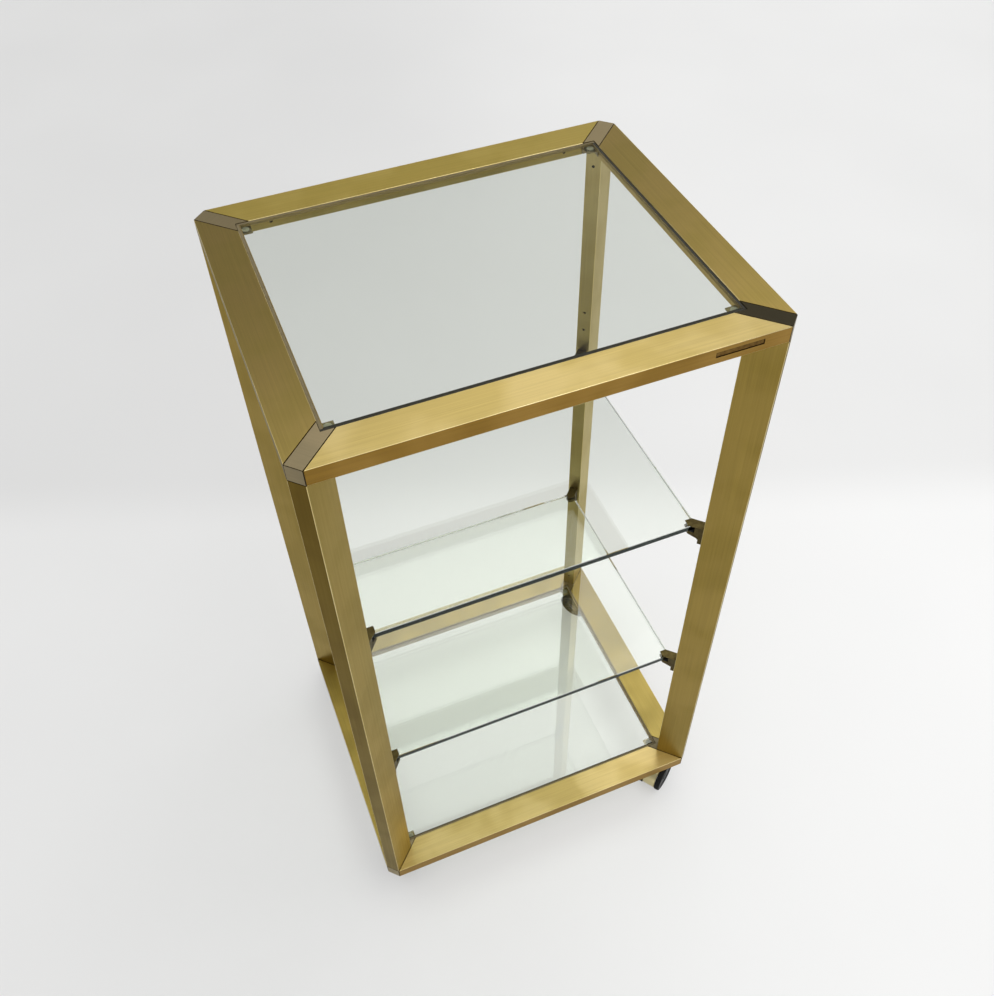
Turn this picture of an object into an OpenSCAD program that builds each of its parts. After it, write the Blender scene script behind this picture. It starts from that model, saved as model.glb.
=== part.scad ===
// Serving trolley: two mitred brass frames joined by four flat corner posts, four glass panes and
// four twin-wheel casters. Millimetres; the origin is on the floor under the middle of the
// trolley, +Z is up, -Y is the front and +X is the right-hand side.

/* [Framework] */
// Width of the framework, left to right
frame_w = 480; // [420:5:600]
// Depth of the framework, front to back
frame_d = 400; // [360:5:520]
// Height of the framework, from the underside of the lower frame to the top of the upper one
frame_h = 855; // [800:5:1000]
// Setback of each chamfered corner, along both sides
chamfer = 13; // [12:0.5:15]

/* [Rails and posts] */
// Width of a rail's flat face
rail_w = 38; // [36:0.5:46]
// Thickness of a rail
rail_t = 18; // [15:0.5:18]
// Length of a post's section, along the diagonal of its corner
post_l = 40; // [37:0.5:44]
// Wall of the hollow rails and posts
wall = 1.5; // [1:0.1:2]
// Width of the dark joint line between two pieces of the framework
joint_gap = 0.2; // [0.1:0.05:0.4]

/* [Corner fittings] */
// Length of the tongue that a corner fitting pushes into each rail
tongue_l = 45; // [38:1:60]
// Height of the spigot that a corner fitting pushes into the post
spigot_l = 35; // [34:1:60]
// Play of a tongue or spigot in its profile, on each side
plug_play = 0.1; // [0.05:0.05:0.3]
// Distance of a rail's set screw from the frame's inner corner
rail_screw_x = 36; // [26:0.5:36]
// Distance of a rail's set screw below the rail's top
rail_screw_drop = 10.5; // [9:0.5:11.5]
// Distance of a post's set screw from the post's end
post_screw_z = 21; // [19:0.5:30]
// Radius of the set screws of rails and posts
set_screw_r = 1.5; // [1.2:0.1:1.8]
// Length of a set screw
set_screw_l = 6; // [4:0.5:7]

/* [Name recess] */
// Length of the bare recess in the outer face of the upper front rail
recess_l = 50; // [30:1:70]
// Height of the recess
recess_h = 6; // [4:0.5:7]
// Depth of the recess
recess_deep = 0.6; // [0.3:0.1:0.8]
// Distance of the middle of the recess from the middle of the rail
recess_x = 174; // [100:1:180]
// Distance of the middle of the recess below the rail's top
recess_drop = 8; // [7:0.5:11]

/* [Glass] */
// Thickness of the four panes
glass_t = 8; // [5:0.5:8]
// Gap all round the top and bottom panes, inside their frames
pane_gap = 3; // [2:0.25:4]
// Play between a middle shelf and the edges of the posts
shelf_play = 1; // [0.8:0.1:3]
// Height of the upper shelf's top face above the floor
upper_shelf_z = 601; // [520:5:610]
// Height of the lower shelf's top face above the floor
lower_shelf_z = 323; // [200:5:420]

/* [Glass tabs] */
// Side of the square tab under each corner of the top and bottom panes
tab_side = 14; // [12:0.5:18]
// Thickness of a tab's sheet
tab_t = 1.5; // [1:0.1:1.6]
// Depth of the ears by which a tab is screwed to its corner fitting
tab_ear_h = 4.2; // [4:0.1:4.4]
// Thickness of the clear bumper on a tab
bumper_t = 1; // [0.5:0.1:1]
// Radius of a bumper
bumper_r = 4; // [3:0.5:5]
// Radius of a tab screw's shank
tab_screw_r = 1.2; // [1:0.1:1.3]

/* [Shelf clips] */
// Reach of a clip's jaws from the post, to their square tips
clip_l = 24; // [20:0.5:30]
// Width of a clip
clip_w = 12; // [9:0.5:14]
// Thickness of the upper jaw
jaw_t = 1.2; // [1:0.1:3]
// Length of the clip's foot below the lower jaw
foot_h = 8.5; // [8:0.5:14]
// Thickness of the foot
foot_t = 5; // [4:0.5:7]
// Thickness of the rubber pad between glass and lower jaw
pad_t = 1; // [0.5:0.1:2]
// Radius of a clip screw's shank
clip_screw_r = 1.5; // [1.2:0.1:1.8]
// Heights of the spare clip holes above the upper shelf's own clip holes
spare_hole_z = [57.8, 85.8];

/* [Casters] */
// Height of a caster, from the floor to the underside of the framework
caster_h = 58; // [56:0.5:75]
// Diameter of a wheel
wheel_d = 50; // [44:1:52]
// Width of one wheel
wheel_w = 8; // [6:0.5:12]
// Width of the hood between the two wheels
hood_w = 19; // [17:0.5:24]
// Wall of the hood
hood_t = 2; // [1.5:0.1:3]
// Horizontal distance from the swivel axis to the axle
trail = 18; // [16:0.5:22]
// Distance of the swivel axis from the chamfered corner, along the diagonal
stem_inset = 31; // [26:0.5:31]
// Radius of the steel stem
stem_r = 4; // [3:0.25:4.25]
// Length of the stem above the underside of the framework
stem_l = 28; // [22:1:30]
// Radius of the axle
axle_r = 2.5; // [2:0.25:3]
// Angles of the casters at rest: front left, front right, rear left, rear right
caster_turn = [90, 215, 90, -55];

/* [Hidden] */
$fn = 64;
sqrt2 = sqrt(2);
overlap = 1;                 // how far two shapes of one solid run into each other
fit = 0.05;                  // radial clearance of a shaft in its bore
seat = 0.1;                  // gap between two pieces that lie against each other
plug_wall = wall + plug_play;

// Framework heights, from the floor
lower_z = caster_h;
upper_z = caster_h + frame_h - rail_t;
post_z = lower_z + rail_t + joint_gap;
post_h = upper_z - joint_gap - post_z;
post_t = chamfer * sqrt2;
shelf_inset = chamfer / 2 + shelf_play;

// Middle of the chamfered corner, and the inner faces of the frame and of a post
corner_x = (frame_w - chamfer) / 2;
corner_y = (frame_d - chamfer) / 2;
inner_x = frame_w / 2 - rail_w;
inner_y = frame_d / 2 - rail_w;
post_in_x = corner_x - post_l / sqrt2;
post_in_y = corner_y - post_l / sqrt2;

// Set screws
screw_sunk = 1;              // how far a set screw lies below the face
screw_bore = set_screw_r + fit;
bore_spare = 1;              // length of a blind bore beyond its screw
screw_bore_l = screw_sunk + set_screw_l + bore_spare;
rail_screw_z = rail_t - rail_screw_drop;

// Tabs, measured down from the top of their frame
tab_top = glass_t + bumper_t;
tab_low = tab_top + tab_t;
tab_screw_at = tab_side / 2;
tab_screw_z = tab_low + tab_ear_h / 2;
tab_screw_l = 4;
tab_head_r = 2;
tab_head_t = 1;

// Clips, measured from the post's inner face and from the glass's top
corner_play = 0.6;           // gap between the glass's corner and the back of the slot
slot_top = 0.3;              // gap between the glass and the upper jaw
pad_play = 0.02;             // gap between the glass and the rubber pad
pad_back = 1.5;              // setback of the pad from the back of the slot
pad_side = 0.5;              // setback of the pad from the clip's sides
lip_t = 2;                   // thickness of the lower jaw at its tip
rib_h = 8.5;                 // drop of the sloping rib below the slot
rib_ledge = 1;               // ledge at the foot of the rib
clip_back = shelf_inset * sqrt2 - corner_play;
clip_side_l = clip_l - clip_w / 2;
slot_low = -glass_t - pad_play - pad_t;
jaw_tip = slot_low - lip_t;
jaw_root = slot_low - rib_h;
foot_low = jaw_root - foot_h;
clip_hole_z = foot_low + foot_h / 2;
clip_head_r = 2.6;
clip_head_t = 1.8;
clip_head_slot = 0.8;
clip_screw_l = 11;

// Casters
wheel_r = wheel_d / 2;
wheel_gap = 0.4;             // running gap between a wheel and the hood
wheel_face = 2;              // thickness of the wheel's closed outer face
wheel_bore_l = wheel_w - wheel_face;
rim_w = 7.5;                 // width of the raised rim on the wheel's outer face
rim_t = 0.8;                 // height of that rim
rim_bevel = 1;               // slope of that rim's inner edge
tread_bevel = 1.5;           // bevel of the tread's edges
hood_lift = 1;               // setback of the hood from the tread
hood_r = wheel_r - hood_lift;
hood_from = -60;             // angles of the hood's two lower edges about the axle
hood_to = 150;
hood_steps = 6;
hub_wall = 3.5;              // wall of the axle's hub and of the stem's boss
web_t = 4;
axle_l = hood_w + 2 * wheel_bore_l;
axle_hub_r = axle_r + hub_wall;
boss_r = stem_r + hub_wall;
sleeve_wall = 1.5;
sleeve_spare = 2;            // length of a sleeve beyond its stem
sleeve_r = stem_r + sleeve_wall;
sleeve_l = stem_l + sleeve_spare;
flange_t = 1.5;
flange_w = 3;
flange_r = sleeve_r + flange_w;
swivel_gap = 0.3;            // running gap between the boss and the sleeve's flange
stem_bevel = 1;              // bevel of the stem's upper end
stem_low = wheel_r + axle_hub_r;
boss_top = caster_h - flange_t - swivel_gap;

BRASS = [0.72, 0.60, 0.33];
ZINC = [0.50, 0.46, 0.40];
BRONZE = [0.36, 0.30, 0.15];
GLASS = [0.75, 0.86, 0.80, 0.45];
STEEL = [0.62, 0.62, 0.60];
BLACK = [0.06, 0.06, 0.06];
CLEAR = [0.85, 0.87, 0.82, 0.7];

SIDES = ["front", "back", "left", "right"];
CORNERS = ["front_left", "front_right", "rear_left", "rear_right"];
CORNER_SIGNS = [[-1, -1], [1, -1], [-1, 1], [1, 1]];
SHARED = ["top_glass", "upper_shelf_glass", "lower_shelf_glass", "bottom_glass",
          "glass_tabs", "glass_bumpers", "tab_screws", "rail_set_screws", "post_set_screws",
          "shelf_clip_pads", "shelf_clip_screws", "caster_sleeves"];
CASTER_PIECES = ["hood", "stem", "axle", "left_wheel", "right_wheel"];

// ---- Places ----------------------------------------------------------------------------------

// What is drawn for the rear right corner, mirrored to corner i
module at_corner(i) {
    mirror([CORNER_SIGNS[i][0] < 0 ? 1 : 0, 0, 0])
        mirror([0, CORNER_SIGNS[i][1] < 0 ? 1 : 0, 0])
            children();
}

// X runs inward along the diagonal from the middle of the chamfered corner
module on_diagonal() {
    translate([corner_x, corner_y, 0]) rotate([0, 0, 225]) children();
}

// X runs inward along the diagonal from the inner face of the post
module at_post_face(z) {
    on_diagonal() translate([post_l, 0, z]) children();
}

// A rod along +X that starts at x
module rod_x(x, r, l) {
    translate([x, 0, 0]) rotate([0, 90, 0]) cylinder(r = r, h = l);
}

// A rod along Y, through the axle's middle
module rod_y(r, l) {
    rotate([90, 0, 0]) cylinder(r = r, h = l, center = true);
}

// ---- Framework -------------------------------------------------------------------------------

// A hollow rail along X with mitred ends; its outer face is at y = 0 and its top at rail_t
module rail(span) {
    half = span / 2 - chamfer - joint_gap * sqrt2;
    color(BRASS) difference() {
        linear_extrude(rail_t)
            polygon([[-half, 0], [half, 0], [half - rail_w, rail_w], [rail_w - half, rail_w]]);
        translate([-half, wall, wall]) cube([2 * half, rail_w - 2 * wall, rail_t - 2 * wall]);
        for (s = [-1, 1])
            translate([s * (span / 2 - rail_w - rail_screw_x), rail_w - wall - overlap, rail_screw_z])
                rotate([-90, 0, 0]) cylinder(r = screw_bore, h = wall + 2 * overlap);
    }
}

// Rail number side of a frame whose underside is at z
module frame_rail(side, z) {
    turn = [0, 180, -90, 90][side];
    long = side < 2 ? frame_w : frame_d;
    wide = side < 2 ? frame_d : frame_w;
    translate([0, 0, z]) rotate([0, 0, turn]) translate([0, -wide / 2, 0]) rail(long);
}

// The upper front rail carries the bare name recess
module upper_rail(side) {
    difference() {
        frame_rail(side, upper_z);
        if (side == 0)
            translate([recess_x - recess_l / 2, -frame_d / 2 - overlap,
                       upper_z + rail_t - recess_drop - recess_h / 2])
                cube([recess_l, overlap + recess_deep, recess_h]);
    }
}

// Plan of the tongue towards the rail along X, its root inside the fitting
module tongue_plan() {
    near = frame_d / 2 - plug_wall;
    far = frame_d / 2 - rail_w + plug_wall;
    root = frame_w / 2 - chamfer + overlap;
    tip = frame_w / 2 - chamfer - rail_w - tongue_l;
    polygon([[root - plug_wall, near], [root - rail_w + plug_wall, far], [tip, far], [tip, near]]);
}

// Swaps X and Y at the rear right corner: what faces the rear rail then faces the right rail
module swap_sides() {
    translate([frame_w / 2, frame_d / 2, 0]) rotate([0, 0, -90]) mirror([1, 0, 0])
        translate([-frame_w / 2, -frame_d / 2, 0]) children();
}

// Corner fitting of the rear right corner, with a tongue for each rail and a post's spigot;
// up is 1 for the lower frame and -1 for the upper one
module fitting(z, up) {
    color(ZINC) difference() {
        union() {
            translate([0, 0, z]) linear_extrude(rail_t)
                polygon([[frame_w / 2, frame_d / 2 - chamfer],
                         [frame_w / 2 - chamfer, frame_d / 2],
                         [inner_x - chamfer, inner_y],
                         [inner_x, inner_y],
                         [inner_x, inner_y - chamfer]]);
            translate([0, 0, z + plug_wall]) linear_extrude(rail_t - 2 * plug_wall) {
                tongue_plan();
                swap_sides() tongue_plan();
            }
            on_diagonal()
                translate([plug_wall, plug_wall - post_t / 2,
                           up > 0 ? z + rail_t - overlap : z - spigot_l])
                    cube([post_l - 2 * plug_wall, post_t - 2 * plug_wall, spigot_l + overlap]);
        }
        rail_screw_bore(z);
        swap_sides() rail_screw_bore(z);
        tab_screw_bore(z);
        swap_sides() tab_screw_bore(z);
        on_diagonal() translate([0, 0, up > 0 ? z + rail_t + post_screw_z : z - post_screw_z])
            rod_x(post_l - plug_wall - screw_bore_l, screw_bore, screw_bore_l + overlap);
        if (up > 0)
            on_diagonal() translate([stem_inset, 0, z - overlap])
                cylinder(r = sleeve_r + fit, h = overlap + sleeve_l + seat);
    }
}

// Bore for the set screw of the rear rail, in the tongue
module rail_screw_bore(z) {
    translate([inner_x - rail_screw_x, inner_y + plug_wall - overlap, z + rail_screw_z])
        rotate([-90, 0, 0]) cylinder(r = screw_bore, h = overlap + screw_bore_l);
}

// Bore for the tab screw in the fitting's face towards the front
module tab_screw_bore(z) {
    translate([inner_x - seat - tab_screw_at, inner_y - overlap, z + rail_t - tab_screw_z])
        rotate([-90, 0, 0]) cylinder(r = tab_screw_r + fit, h = overlap + tab_screw_l);
}

// A hollow flat post on the diagonal, with its set screw and clip holes in the inner narrow face
module post() {
    color(BRASS) on_diagonal() difference() {
        translate([0, -post_t / 2, post_z]) cube([post_l, post_t, post_h]);
        translate([wall, wall - post_t / 2, post_z - overlap])
            cube([post_l - 2 * wall, post_t - 2 * wall, post_h + 2 * overlap]);
        for (z = [lower_z + rail_t + post_screw_z, upper_z - post_screw_z])
            translate([0, 0, z]) rod_x(post_l - wall - overlap, screw_bore, wall + 2 * overlap);
        for (z = concat([lower_shelf_z, upper_shelf_z], [for (s = spare_hole_z) upper_shelf_z + s]))
            translate([0, 0, z + clip_hole_z])
                rod_x(post_l - wall - overlap, clip_screw_r + fit, wall + 2 * overlap);
    }
}

// Set screws of the rails: one in the inner face of each rail's end
module rail_set_screws() {
    color(STEEL) for (i = [0:3], z = [lower_z, upper_z]) at_corner(i) {
        rail_set_screw(z);
        swap_sides() rail_set_screw(z);
    }
}

module rail_set_screw(z) {
    translate([inner_x - rail_screw_x, inner_y + screw_sunk, z + rail_screw_z])
        rotate([-90, 0, 0]) hex_ended_rod(set_screw_r, set_screw_l);
}

// Set screws of the posts: one at each end of each post
module post_set_screws() {
    color(STEEL) for (i = [0:3], z = [lower_z + rail_t + post_screw_z, upper_z - post_screw_z])
        at_corner(i) on_diagonal()
            translate([post_l - screw_sunk, 0, z]) rotate([0, -90, 0])
                hex_ended_rod(set_screw_r, set_screw_l);
}

// A rod along +Z whose near end has a hexagon socket, half as wide and a third as deep as the rod
module hex_ended_rod(r, l) {
    difference() {
        cylinder(r = r, h = l);
        translate([0, 0, -overlap]) cylinder(r = r / 2, h = overlap + l / 3, $fn = 6);
    }
}

// ---- Glass -----------------------------------------------------------------------------------

// A pane whose top face is at z
module pane(w, d, z) {
    color(GLASS) translate([-w / 2, -d / 2, z - glass_t]) cube([w, d, glass_t]);
}

// A pane flush with the top of its frame
module frame_pane(z) {
    pane(2 * (inner_x - pane_gap), 2 * (inner_y - pane_gap), z + rail_t);
}

// A middle shelf, held at its corners between the posts
module shelf_pane(z) {
    pane(2 * (post_in_x - shelf_inset), 2 * (post_in_y - shelf_inset), z);
}

// One ear of a tab, against the fitting's face towards the front
module tab_ear() {
    difference() {
        translate([-tab_side, -tab_t, -tab_low - tab_ear_h])
            cube([tab_side, tab_t, tab_ear_h + tab_t]);
        translate([-tab_screw_at, -tab_t - overlap, -tab_screw_z]) rotate([-90, 0, 0])
            cylinder(r = tab_screw_r + fit, h = tab_t + 2 * overlap);
    }
}

// The origin at a frame's top inner corner, a seat away from both of its faces
module at_inner_corner(i, z) {
    at_corner(i) translate([inner_x - seat, inner_y - seat, z + rail_t]) children();
}

// Swaps X and Y at that corner
module swap_tab() {
    rotate([0, 0, -90]) mirror([1, 0, 0]) children();
}

// Bent tabs under the corners of the top and bottom panes
module glass_tabs() {
    color(BRONZE) for (i = [0:3], z = [lower_z, upper_z]) at_inner_corner(i, z) {
        translate([-tab_side, -tab_side, -tab_low]) cube([tab_side, tab_side, tab_t]);
        tab_ear();
        swap_tab() tab_ear();
    }
}

// Clear bumpers between the tabs and the glass
module glass_bumpers() {
    color(CLEAR) for (i = [0:3], z = [lower_z, upper_z]) at_inner_corner(i, z)
        translate([-tab_side / 2 - tab_t / 2, -tab_side / 2 - tab_t / 2, -tab_top])
            cylinder(r = bumper_r, h = bumper_t);
}

// Screws that hold the ears to the corner fittings
module tab_screws() {
    color(STEEL) for (i = [0:3], z = [lower_z, upper_z]) at_inner_corner(i, z) {
        tab_screw();
        swap_tab() tab_screw();
    }
}

module tab_screw() {
    translate([-tab_screw_at, -tab_t - tab_head_t, -tab_screw_z]) rotate([-90, 0, 0]) {
        cylinder(r = tab_head_r, h = tab_head_t);
        cylinder(r = tab_screw_r, h = tab_head_t + tab_t + tab_screw_l - 2 * seat);
    }
}

// ---- Shelf clips -----------------------------------------------------------------------------

// Plan of a clip: its square tip follows the two edges of the glass
module clip_plan() {
    polygon([[0, -clip_w / 2], [clip_side_l, -clip_w / 2], [clip_l, 0],
             [clip_side_l, clip_w / 2], [0, clip_w / 2]]);
}

// A clip on the rear right post: two jaws round the glass, a sloping rib below and a foot
module shelf_clip(z) {
    color(BRONZE) at_post_face(z) difference() {
        translate([seat, 0, 0]) intersection() {
            translate([0, clip_w / 2, 0]) rotate([90, 0, 0]) linear_extrude(clip_w)
                polygon([[0, slot_top + jaw_t], [clip_l, slot_top + jaw_t], [clip_l, slot_top],
                         [clip_back, slot_top], [clip_back, slot_low], [clip_l, slot_low],
                         [clip_l, jaw_tip], [foot_t + rib_ledge, jaw_root], [foot_t, jaw_root],
                         [foot_t, foot_low], [0, foot_low]]);
            translate([0, 0, foot_low - overlap])
                linear_extrude(slot_top + jaw_t - foot_low + 2 * overlap) clip_plan();
        }
        translate([0, 0, clip_hole_z])
            rod_x(-overlap, clip_screw_r + fit, foot_t + seat + 2 * overlap);
    }
}

// Rubber pads in the clips, under the glass
module shelf_clip_pads() {
    pad_from = clip_back + pad_back;
    color(BLACK) for (i = [0:3], z = [lower_shelf_z, upper_shelf_z]) at_corner(i) at_post_face(z)
        translate([pad_from, pad_side - clip_w / 2, slot_low])
            cube([clip_side_l - pad_from, clip_w - 2 * pad_side, pad_t]);
}

// Screws through the feet of the clips into the posts
module shelf_clip_screws() {
    head_at = seat + foot_t;
    color(STEEL) for (i = [0:3], z = [lower_shelf_z, upper_shelf_z])
        at_corner(i) at_post_face(z + clip_hole_z) {
            rod_x(head_at + clip_head_t - clip_screw_l, clip_screw_r, clip_screw_l);
            difference() {
                rod_x(head_at, clip_head_r, clip_head_t);
                translate([head_at + clip_head_t / 2, -clip_head_r, -clip_head_slot / 2])
                    cube([clip_head_t, 2 * clip_head_r, clip_head_slot]);
            }
        }
}

// ---- Casters ---------------------------------------------------------------------------------

// X runs from the swivel axis of corner i towards the axle
module at_caster(i) {
    away = stem_inset / sqrt2;
    translate([CORNER_SIGNS[i][0] * (corner_x - away), CORNER_SIGNS[i][1] * (corner_y - away), 0])
        rotate([0, 0, caster_turn[i]]) children();
}

// Flanged sleeves in the lower corner fittings, in which the stems turn
module caster_sleeves() {
    color(STEEL) for (i = [0:3]) at_caster(i) translate([0, 0, caster_h]) difference() {
        union() {
            cylinder(r = sleeve_r, h = sleeve_l);
            translate([0, 0, -flange_t]) cylinder(r = flange_r, h = flange_t);
        }
        translate([0, 0, -flange_t - overlap])
            cylinder(r = stem_r + fit, h = flange_t + sleeve_l + 2 * overlap);
    }
}

// Stem of a caster, fixed in the hood
module caster_stem(i) {
    shank = caster_h + stem_l - stem_bevel - stem_low - seat;
    color(STEEL) at_caster(i) translate([0, 0, stem_low + seat]) {
        cylinder(r = stem_r, h = shank);
        translate([0, 0, shank]) cylinder(r1 = stem_r, r2 = stem_r - stem_bevel, h = stem_bevel);
    }
}

// Angles of a fan of points from the hood's lower edge over its top
function hood_fan() =
    [for (k = [0:hood_steps]) hood_from + k * (hood_to - hood_from) / hood_steps];

// Hood: a curved shell over the wheels' gap, a web inside, the axle's hub and the stem's boss
module caster_hood(i) {
    color(BRASS) at_caster(i) difference() {
        union() {
            translate([trail, hood_w / 2, wheel_r]) rotate([90, 0, 0]) linear_extrude(hood_w)
                intersection() {
                    difference() {
                        circle(r = hood_r);
                        circle(r = hood_r - hood_t);
                    }
                    polygon(concat([[0, 0]],
                        [for (a = hood_fan()) 2 * hood_r * [cos(a), sin(a)]]));
                }
            translate([trail, 0, wheel_r]) {
                rod_y(hood_r - hood_t / 2, web_t);
                rod_y(axle_hub_r, hood_w);
            }
            translate([0, 0, wheel_r]) cylinder(r = boss_r, h = boss_top - wheel_r);
        }
        translate([trail, 0, wheel_r]) rod_y(axle_r + fit, hood_w + 2 * overlap);
        translate([0, 0, stem_low]) cylinder(r = stem_r + fit, h = boss_top - stem_low + overlap);
    }
}

module caster_axle(i) {
    color(STEEL) at_caster(i) translate([trail, 0, wheel_r]) rod_y(axle_r, axle_l);
}

// A wheel with a raised rim; side is -1 for the right and 1 for the left of the hood
module caster_wheel(i, side) {
    dish_r = wheel_r - rim_w;
    color(BLACK) at_caster(i) translate([trail, side * (hood_w / 2 + wheel_gap), wheel_r])
        rotate([-side * 90, 0, 0]) rotate_extrude()
            polygon([[0, wheel_bore_l], [axle_r + fit, wheel_bore_l], [axle_r + fit, 0],
                     [wheel_r - tread_bevel / 2, 0], [wheel_r, tread_bevel],
                     [wheel_r, wheel_w - tread_bevel], [wheel_r - tread_bevel, wheel_w],
                     [dish_r + rim_bevel, wheel_w], [dish_r, wheel_w - rim_t],
                     [0, wheel_w - rim_t]]);
}

// ---- Nodes -----------------------------------------------------------------------------------

for (s = [0:3]) {
    upper_rail(s);
    frame_rail(s, lower_z);
}
for (i = [0:3]) {
    name = CORNERS[i];
    at_corner(i) fitting(upper_z, -1);
    at_corner(i) fitting(lower_z, 1);
    at_corner(i) post();
    at_corner(i) shelf_clip(upper_shelf_z);
    at_corner(i) shelf_clip(lower_shelf_z);
    caster_hood(i);
    caster_stem(i);
    caster_axle(i);
    caster_wheel(i, 1);
    caster_wheel(i, -1);
}
frame_pane(upper_z);  // top_glass
shelf_pane(upper_shelf_z);  // upper_shelf_glass
shelf_pane(lower_shelf_z);  // lower_shelf_glass
frame_pane(lower_z);  // bottom_glass
glass_tabs();
glass_bumpers();
tab_screws();
rail_set_screws();
post_set_screws();
shelf_clip_pads();
shelf_clip_screws();
caster_sleeves();
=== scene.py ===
"""Looks of the dessert trolley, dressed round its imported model.

Two mitred frames and four diagonal posts of brushed brass, grey corner fittings, four panes of
float glass, bronze clips and tabs, and four twin-wheel casters. Lengths are in metres. Every
sub-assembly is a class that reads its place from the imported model, builds its meshes in a frame of
their own and sets them in place.
"""

from __future__ import annotations

import logging
import math
import zlib
from dataclasses import dataclass
from enum import Enum, IntEnum
from typing import Callable, Sequence

import bmesh
import bpy
from mathutils import Matrix, Vector

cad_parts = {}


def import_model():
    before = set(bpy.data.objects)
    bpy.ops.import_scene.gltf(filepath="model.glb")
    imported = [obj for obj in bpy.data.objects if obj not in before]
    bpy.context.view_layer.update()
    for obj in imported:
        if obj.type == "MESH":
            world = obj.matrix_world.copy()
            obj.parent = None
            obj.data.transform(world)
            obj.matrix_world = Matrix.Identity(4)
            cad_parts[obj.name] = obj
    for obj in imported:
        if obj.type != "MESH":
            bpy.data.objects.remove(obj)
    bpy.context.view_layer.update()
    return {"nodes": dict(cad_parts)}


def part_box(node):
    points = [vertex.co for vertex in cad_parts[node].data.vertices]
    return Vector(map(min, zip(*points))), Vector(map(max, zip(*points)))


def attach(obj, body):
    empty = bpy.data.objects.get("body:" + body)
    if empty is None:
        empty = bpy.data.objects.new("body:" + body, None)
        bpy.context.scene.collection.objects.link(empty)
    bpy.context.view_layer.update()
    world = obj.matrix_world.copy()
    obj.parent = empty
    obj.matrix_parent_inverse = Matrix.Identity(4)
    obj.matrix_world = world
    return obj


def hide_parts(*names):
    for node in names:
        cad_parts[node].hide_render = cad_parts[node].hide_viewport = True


Colour = tuple[float, float, float]
Outline = Sequence[tuple[float, float]]
Solid = bmesh.types.BMesh
Mesh = bpy.types.Mesh
SceneObject = bpy.types.Object
Material = bpy.types.Material
Node = bpy.types.Node
Socket = bpy.types.NodeSocket

MM = 0.001
ROOT2 = math.sqrt(2.0)
UP = Vector((0.0, 0.0, 1.0))
GRAIN_MAP = "grain"
JOINT_GAP = 0.2 * MM

# Angles between faces from which an edge is rounded, and from which its shading breaks
SHARP = math.radians(30.0)
CREASE = math.radians(50.0)

# Shares of a face's unit normal that tell how the face lies
SQUARE_ON = 0.99
LEVEL = 0.9
FACING = 0.5
END_ON = 0.3
LEANING = 0.2

# Radius under which a point of a turned profile lies on the axis
ON_AXIS = 1e-7

# Scratches of brushed metal, in marks to the metre along and across the grain
FINE_GRAIN = (14.0, 2600.0, 1.0)
BROAD_GRAIN = (5.0, 420.0, 1.0)

log = logging.getLogger("trolley")


def shade(red: int, green: int, blue: int) -> Colour:
    """Linear colour of a display colour.

    Args:
        red: Red, 0 to 255.
        green: Green, 0 to 255.
        blue: Blue, 0 to 255.

    Returns:
        The three linear values.
    """
    def linear(value: int) -> float:
        """One channel, from display to linear."""
        share = value / 255.0
        return share / 12.92 if share <= 0.04045 else ((share + 0.055) / 1.055) ** 2.4

    return linear(red), linear(green), linear(blue)


# ---- Places --------------------------------------------------------------------------------------


class Corner(Enum):
    """The corners of the trolley, by the signs of their X and Y."""

    FRONT_LEFT = (-1, -1)
    FRONT_RIGHT = (1, -1)
    REAR_LEFT = (-1, 1)
    REAR_RIGHT = (1, 1)

    @property
    def label(self) -> str:
        """The corner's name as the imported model's nodes have it."""
        return self.name.lower()

    def diagonal(self, x: float, y: float, z: float = 0.0) -> Matrix:
        """Place on the corner's diagonal, its X running inward.

        Args:
            x: Distance of the place from the middle of the trolley along X.
            y: The same along Y.
            z: Height above the floor.

        Returns:
            The place as a matrix.
        """
        inward = Vector((-self.value[0], -self.value[1], 0.0)).normalized()
        place = Matrix((inward, UP.cross(inward), UP)).transposed().to_4x4()
        place.translation = (self.value[0] * x, self.value[1] * y, z)
        return place


class Side(Enum):
    """The sides of a frame, by the turn from the front in quarter turns."""

    FRONT = 0
    BACK = 2
    LEFT = -1
    RIGHT = 1

    @property
    def label(self) -> str:
        """The side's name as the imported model's nodes have it."""
        return self.name.lower()

    @property
    def turn(self) -> Matrix:
        """The turn that brings the front to this side."""
        return Matrix.Rotation(self.value * math.pi / 2, 4, "Z")


@dataclass(frozen=True)
class Framework:
    """Sizes of the framework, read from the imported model."""

    width: float
    depth: float
    rail_w: float
    rail_t: float
    chamfer: float
    post_l: float
    lower_z: float
    upper_z: float

    @classmethod
    def read(cls, joint_gap: float) -> Framework:
        """Reads the sizes.

        Args:
            joint_gap: Width of the joint line between two pieces.

        Returns:
            The framework's sizes.
        """
        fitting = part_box("upper_front_left_fitting")[0]
        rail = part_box("upper_front_rail")
        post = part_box("front_left_post")
        chamfer = -fitting.x - rail[1].x - joint_gap * ROOT2
        return cls(
            width=-2 * fitting.x,
            depth=-2 * fitting.y,
            rail_w=rail[1].y - rail[0].y,
            rail_t=rail[1].z - rail[0].z,
            chamfer=chamfer,
            post_l=(post[1].x - post[0].x - chamfer) * ROOT2,
            lower_z=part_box("lower_front_rail")[0].z,
            upper_z=rail[0].z,
        )

    @property
    def corner_x(self) -> float:
        """X of the middle of a chamfered corner."""
        return (self.width - self.chamfer) / 2

    @property
    def corner_y(self) -> float:
        """Y of the middle of a chamfered corner."""
        return (self.depth - self.chamfer) / 2

    @property
    def post_t(self) -> float:
        """Thickness of a post, which is the width of a chamfered corner."""
        return self.chamfer * ROOT2


# ---- Meshes --------------------------------------------------------------------------------------


class Zone(IntEnum):
    """The zones of a piece, by the number of their finish in the piece's list."""

    FACE = 0
    ARRIS = 1
    OUTER = 2
    SOILED = 3
    FLOOR = 4


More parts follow.
